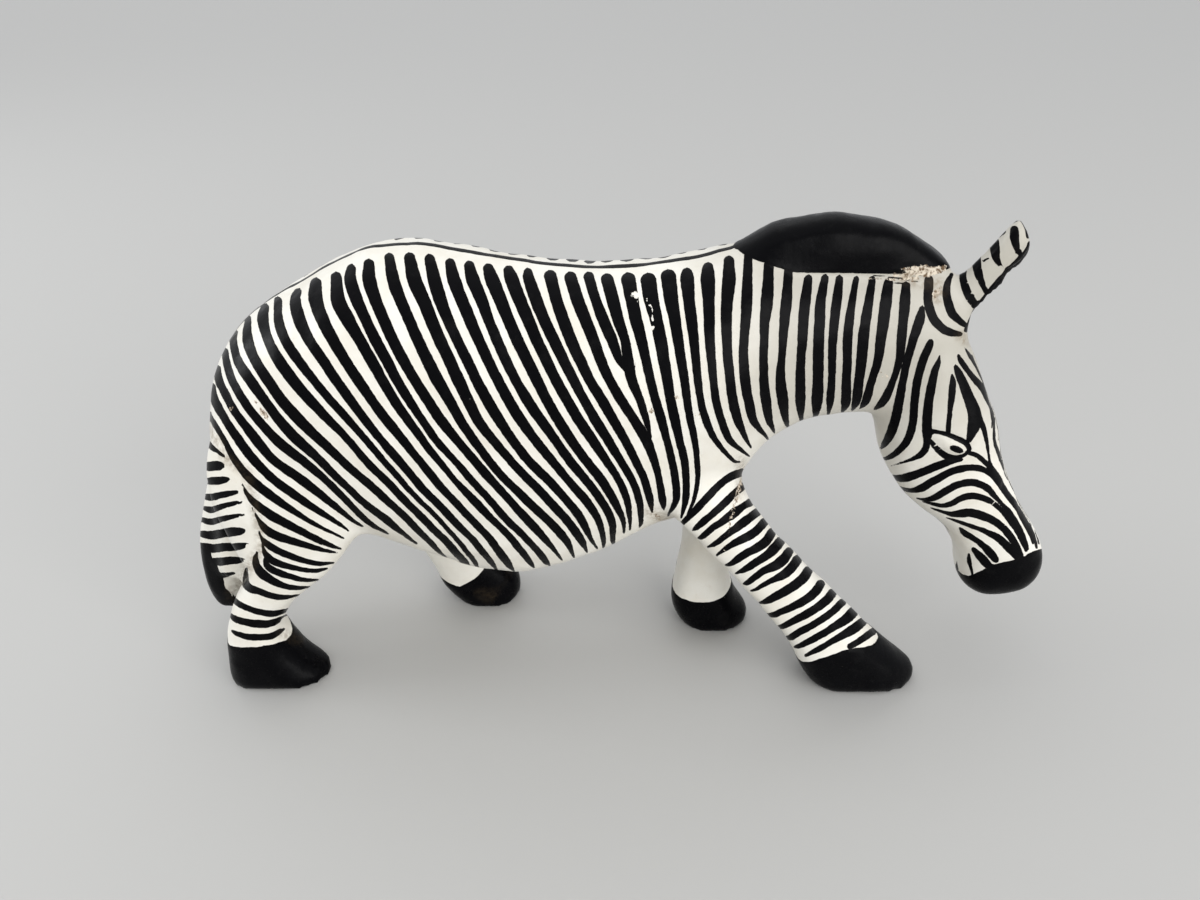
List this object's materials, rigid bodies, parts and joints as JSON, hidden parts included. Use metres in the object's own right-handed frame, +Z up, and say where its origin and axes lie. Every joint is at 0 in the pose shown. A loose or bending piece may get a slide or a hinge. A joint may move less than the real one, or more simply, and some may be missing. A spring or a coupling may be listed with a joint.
{
  "type": "zebra figurine",
  "caption": "Carved and painted wooden zebra, walking with level neck and low head, standing on flat soles.",
  "frame": {"origin": "on the surface it stands on, below the middle of the figure's box", "axes": "+X towards the nose, +Y to the zebra's left side, +Z up"},
  "size_m": [0.233, 0.0528, 0.1247],
  "materials": {
    "painted_wood": "satin cream paint with brushed black stripes"
  },
  "bodies": {
    "root": {"zebra_figurine": "painted_wood"}
  },
  "joints": []
}
